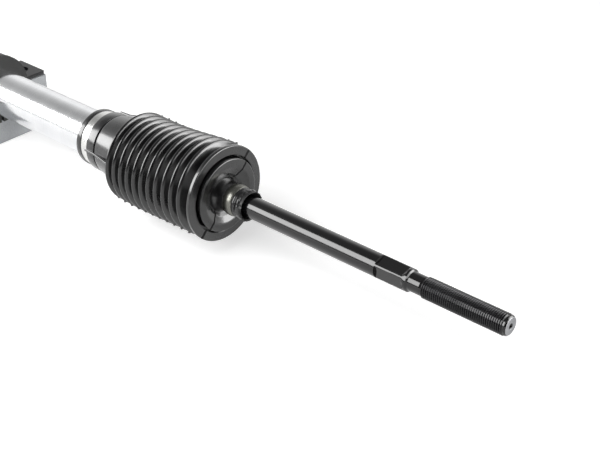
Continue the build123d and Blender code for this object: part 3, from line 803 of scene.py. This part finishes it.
class RACK_OT_finishes(bpy.types.Operator):
    """Give every carried-over part its own finish"""

    bl_idname = "rack.finishes"
    bl_label = "Part finishes"

    def execute(self, context):
        for make, names in NODE_FINISH.items():
            material = make()
            for name in names:
                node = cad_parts[name]
                node.data.materials.clear()
                node.data.materials.append(material)
        return {"FINISHED"}


class RACK_OT_boots(bpy.types.Operator):
    """Model both convoluted boots, each in three pieces: bellows, dish and cuff"""

    bl_idname = "rack.boots"
    bl_label = "Boots"

    def execute(self, context):
        boot = context.scene.rack_boot
        # The second finish paints shade into the sunk parting line: dead black on its own columns of faces.
        rubber, painted_shade, torn = moulded_rubber(), seam_painted_shade(), torn_rubber()
        for side, hand in SIDES.items():
            bm = lathe(bellows_corners(boot))
            mark_seam(bm, RING_BACK)
            press_parting(bm, flash)
            settle(bm, boot)
            for i in range(boot.ribs):
                rib(bm, boot, radians(175.5 + 360 / boot.ribs * i))
            bellows = new_piece(f"{side}_boot_bellows", bm, side, rubber)
            bellows.data.materials.append(painted_shade)
            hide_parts(f"{side}_boot")
            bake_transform(bellows)

            bm = lathe(dish_corners(), segments=5)
            # The dish's sunk parting line is painted dead black as shade too.
            mark_seam(bm, CUFF_SEAM[0])
            press_parting(bm, lambda x, r: -0.8)
            dish = new_piece(f"{side}_boot_dish", bm, side, rubber, 60)
            dish.data.materials.append(painted_shade)
            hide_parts(f"{side}_boot")
            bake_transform(dish)

            bm = lathe(cuff_corners(), segments=5)
            press_parting(bm, lambda x, r: -0.4 if 2.5 < x < CUFF_START and r > 9.8 else 0)
            ragged_lip(bm)
            for face in bm.faces:
                if face.calc_center_median().x > TORN_FROM:
                    face.material_index = 2
            cuff = new_piece(f"{side}_boot_cuff", bm, side, rubber, 50)
            cuff.data.materials.append(painted_shade)
            cuff.data.materials.append(torn)
            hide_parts(f"{side}_boot")
            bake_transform(cuff)
        return {"FINISHED"}


class RACK_OT_rods(bpy.types.Operator):
    """Model both tie rods, with wrench flats and a cut thread"""

    bl_idname = "rack.rods"
    bl_label = "Tie rods"

    def execute(self, context):
        rod = context.scene.rack_rod
        paint, thread, face = gloss_black_rod(), black_thread(), milled_face()
        for side in SIDES:
            bm = lathe(rod_corners(rod), steps=96, segments=3)
            mill_flats(bm, rod)
            body = new_piece(f"{side}_rod_body", bm, side, paint, 28)
            body.data.materials.append(face)
            outer = abs(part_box(f"{side}_tie_rod")[SIDES[side] > 0].x)
            for polygon in body.data.polygons:
                if abs(polygon.center.x) > outer - 0.3 * MM:
                    polygon.material_index = 1
            ridge = new_piece(f"{side}_rod_thread", thread_ridge(rod), side, thread, 28)
            for piece in (body, ridge):
                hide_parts(f"{side}_tie_rod")
                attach(piece, f"{side}_rod")
        return {"FINISHED"}


class RACK_OT_clamps(bpy.types.Operator):
    """Model the small clamps on the tie rods"""

    bl_idname = "rack.clamps"
    bl_label = "Small clamps"

    def execute(self, context):
        film = passivated_band()
        for side in SIDES:
            band_mesh = lathe(small_band_corners(), 96, 3)
            band = new_piece(f"{side}_small_band", band_mesh, side, film)
            ear_mesh = band_ear(CUFF_START + 3.0, 4.6, 10.0, 0.5, 3.0)
            ear = new_piece(f"{side}_small_band_ear", ear_mesh, side, film)
            for piece in (band, ear):
                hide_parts(f"{side}_small_clamp")
                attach(piece, f"{side}_cuff")
        return {"FINISHED"}


class RACK_OT_stage(bpy.types.Operator):
    """Set the pale floor, the soft light and the camera"""

    bl_idname = "rack.stage"
    bl_label = "Stage"

    def execute(self, context):
        stage = context.scene.rack_stage
        bm = bmesh.new()
        bmesh.ops.create_grid(bm, x_segments=1, y_segments=1, size=15)
        mesh = bpy.data.meshes.new("floor")
        bm.to_mesh(mesh)
        bm.free()
        floor = bpy.data.objects.new("floor", mesh)
        floor.location.z = -0.5 * MM
        context.scene.collection.objects.link(floor)
        mesh.materials.append(pale_floor())
        context.scene.world = studio_world(stage.fill)

        target = Vector((RING_X["right"], 0, AXIS_HEIGHT))
        middle = Vector(((RING_X["left"] + RING_X["right"]) / 2, 0, AXIS_HEIGHT))
        softbox("main softbox", middle, (0, -0.7, 0.7), 1.6, (2.0, 1.2), stage.main).visible_glossy = False
        for name, place, direction, distance, size, power in STRIPS:
            spot = target + Vector((place, 0, 0))
            softbox(name, spot, direction, distance, size, power * stage.key).visible_diffuse = False

        camera = bpy.data.objects.new("camera", bpy.data.cameras.new("camera"))
        context.scene.collection.objects.link(camera)
        camera.data.lens = stage.lens
        camera.data.sensor_width = 36
        camera.data.clip_end = 50
        camera.location = target + Vector(stage.camera_offset)
        camera.rotation_euler = Vector(stage.aim).to_track_quat("-Z", "Y").to_euler()
        context.scene.camera = camera
        context.scene.view_settings.view_transform = "Standard"
        return {"FINISHED"}


class RACK_PT_panel(bpy.types.Panel):
    """Lists the steps of the dressing"""

    bl_idname = "RACK_PT_panel"
    bl_label = "Steering rack"
    bl_space_type = "VIEW_3D"
    bl_region_type = "UI"
    bl_category = "Rack"

    def draw(self, context):
        for step in STEPS:
            self.layout.operator(step.bl_idname)


STEPS = (RACK_OT_finishes, RACK_OT_boots, RACK_OT_rods, RACK_OT_clamps, RACK_OT_stage)
CLASSES = (RackBootSizes, RackRodSizes, RackStage, *STEPS, RACK_PT_panel)


def register():
    """Add the classes and their settings."""
    for cls in CLASSES:
        bpy.utils.register_class(cls)
    bpy.types.Scene.rack_boot = PointerProperty(type=RackBootSizes)
    bpy.types.Scene.rack_rod = PointerProperty(type=RackRodSizes)
    bpy.types.Scene.rack_stage = PointerProperty(type=RackStage)


def unregister():
    """Take the settings and the classes away again."""
    del bpy.types.Scene.rack_boot, bpy.types.Scene.rack_rod, bpy.types.Scene.rack_stage
    for cls in reversed(CLASSES):
        bpy.utils.unregister_class(cls)


def main():
    """Run every step in order."""
    register()
    bpy.ops.rack.finishes()
    bpy.ops.rack.boots()
    bpy.ops.rack.rods()
    bpy.ops.rack.clamps()
    bpy.ops.rack.stage()
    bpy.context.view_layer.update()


if __name__ == "__main__":
    main()
